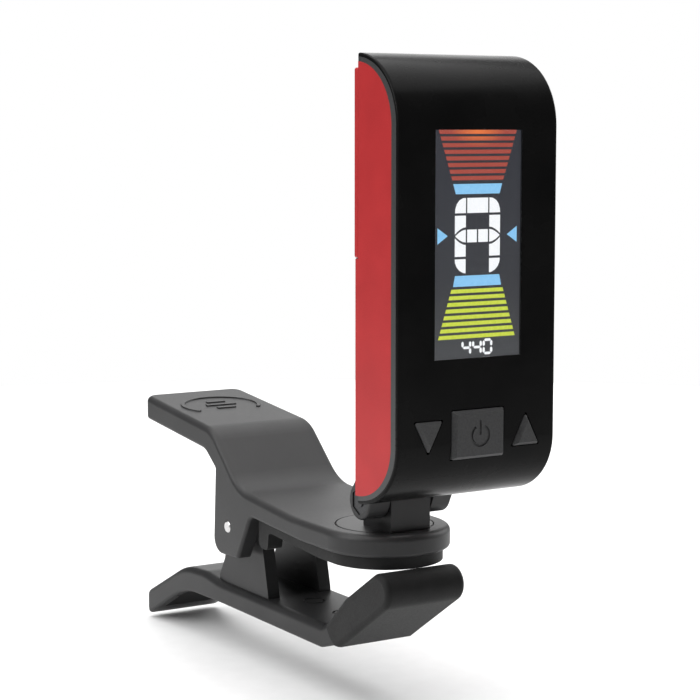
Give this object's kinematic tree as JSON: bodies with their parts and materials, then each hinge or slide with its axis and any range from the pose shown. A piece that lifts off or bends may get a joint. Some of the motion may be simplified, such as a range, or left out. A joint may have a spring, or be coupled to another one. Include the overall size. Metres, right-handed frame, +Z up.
{
  "type": "clip-on tuner",
  "caption": "Sprung clip with padded jaws that carries a tilting, swivelling display head for tuning an instrument.",
  "frame": {"origin": "where the upper and lower jaw pads meet, on the centre plane", "axes": "+Z up along the swivel axis, +Y from the jaws back to the thumb levers, +X to the right of a reader facing the display; the display faces -Y"},
  "size_m": [0.025, 0.0876, 0.0908],
  "materials": {
    "gloss_front": "gloss",
    "bezel_grey": "satin",
    "case_red": "satin metallic",
    "window": "gloss",
    "display": "matte",
    "key_rubber": "matte",
    "board": "satin",
    "silicone": "matte",
    "steel": "satin",
    "black_steel": "satin",
    "brass": "satin",
    "clip_black": "fine texture",
    "pad_rubber": "matte"
  },
  "bodies": {
    "lower_jaw": {"lower_jaw": "clip_black", "lower_jaw_pad": "pad_rubber", "pivot_pin": "steel", "torsion_spring": "steel"},
    "upper_jaw": {"upper_lever": "clip_black", "upper_jaw_pad": "pad_rubber"},
    "swivel": {"swivel_post": "clip_black", "swivel_washer": "steel", "swivel_screw": "steel"},
    "head": {"front_cover": "gloss_front", "front_bezel": "bezel_grey", "rear_case": "case_red", "display_lens": "window", "lcd_module": "display", "circuit_board": "board", "key_pad": "silicone", "switch_domes": "steel", "coin_cell": "steel", "contact_positive": "steel", "contact_negative": "steel", "piezo_disc": "brass", "board_screws": "steel", "hinge_bracket": "clip_black", "bracket_screws": "steel", "hinge_bolt": "black_steel", "hinge_nut": "black_steel", "hinge_washers": "black_steel"},
    "power_key": {"power_button": "key_rubber"},
    "down_key": {"down_button": "key_rubber"},
    "up_key": {"up_button": "key_rubber"},
    "battery_cover": {"battery_cover": "case_red"}
  },
  "joints": [
    {"name": "clip_open", "type": "hinge", "parent": "lower_jaw", "child": "upper_jaw", "pos_m": [0, 0.0376, 0], "axis": [-1, 0, 0], "range_deg": [0, 24], "stiffness_Nm_per_rad": 0.8, "springref_deg": -20.05, "deforming": ["torsion_spring"]},
    {"name": "head_swivel", "type": "hinge", "parent": "upper_jaw", "child": "swivel", "pos_m": [0, 0.0075, 0.0049], "axis": [0, 0, 1], "range_deg": [-90, 90]},
    {"name": "head_tilt", "type": "hinge", "parent": "swivel", "child": "head", "pos_m": [0, 0.00335, 0.00935], "axis": [1, 0, 0], "range_deg": [-80, 45]},
    {"name": "power_press", "type": "slide", "parent": "head", "child": "power_key", "axis": [0, 1, 0], "range_m": [0, 0.0004], "stiffness_N_per_m": 1500, "springref_m": -0.0001},
    {"name": "down_press", "type": "slide", "parent": "head", "child": "down_key", "axis": [0, 1, 0], "range_m": [0, 0.0004], "stiffness_N_per_m": 1500, "springref_m": -0.0001},
    {"name": "up_press", "type": "slide", "parent": "head", "child": "up_key", "axis": [0, 1, 0], "range_m": [0, 0.0004], "stiffness_N_per_m": 1500, "springref_m": -0.0001},
    {"name": "battery_cover_slide", "type": "slide", "parent": "head", "child": "battery_cover", "axis": [0, 0, 1], "range_m": [0, 0.028]}
  ]
}
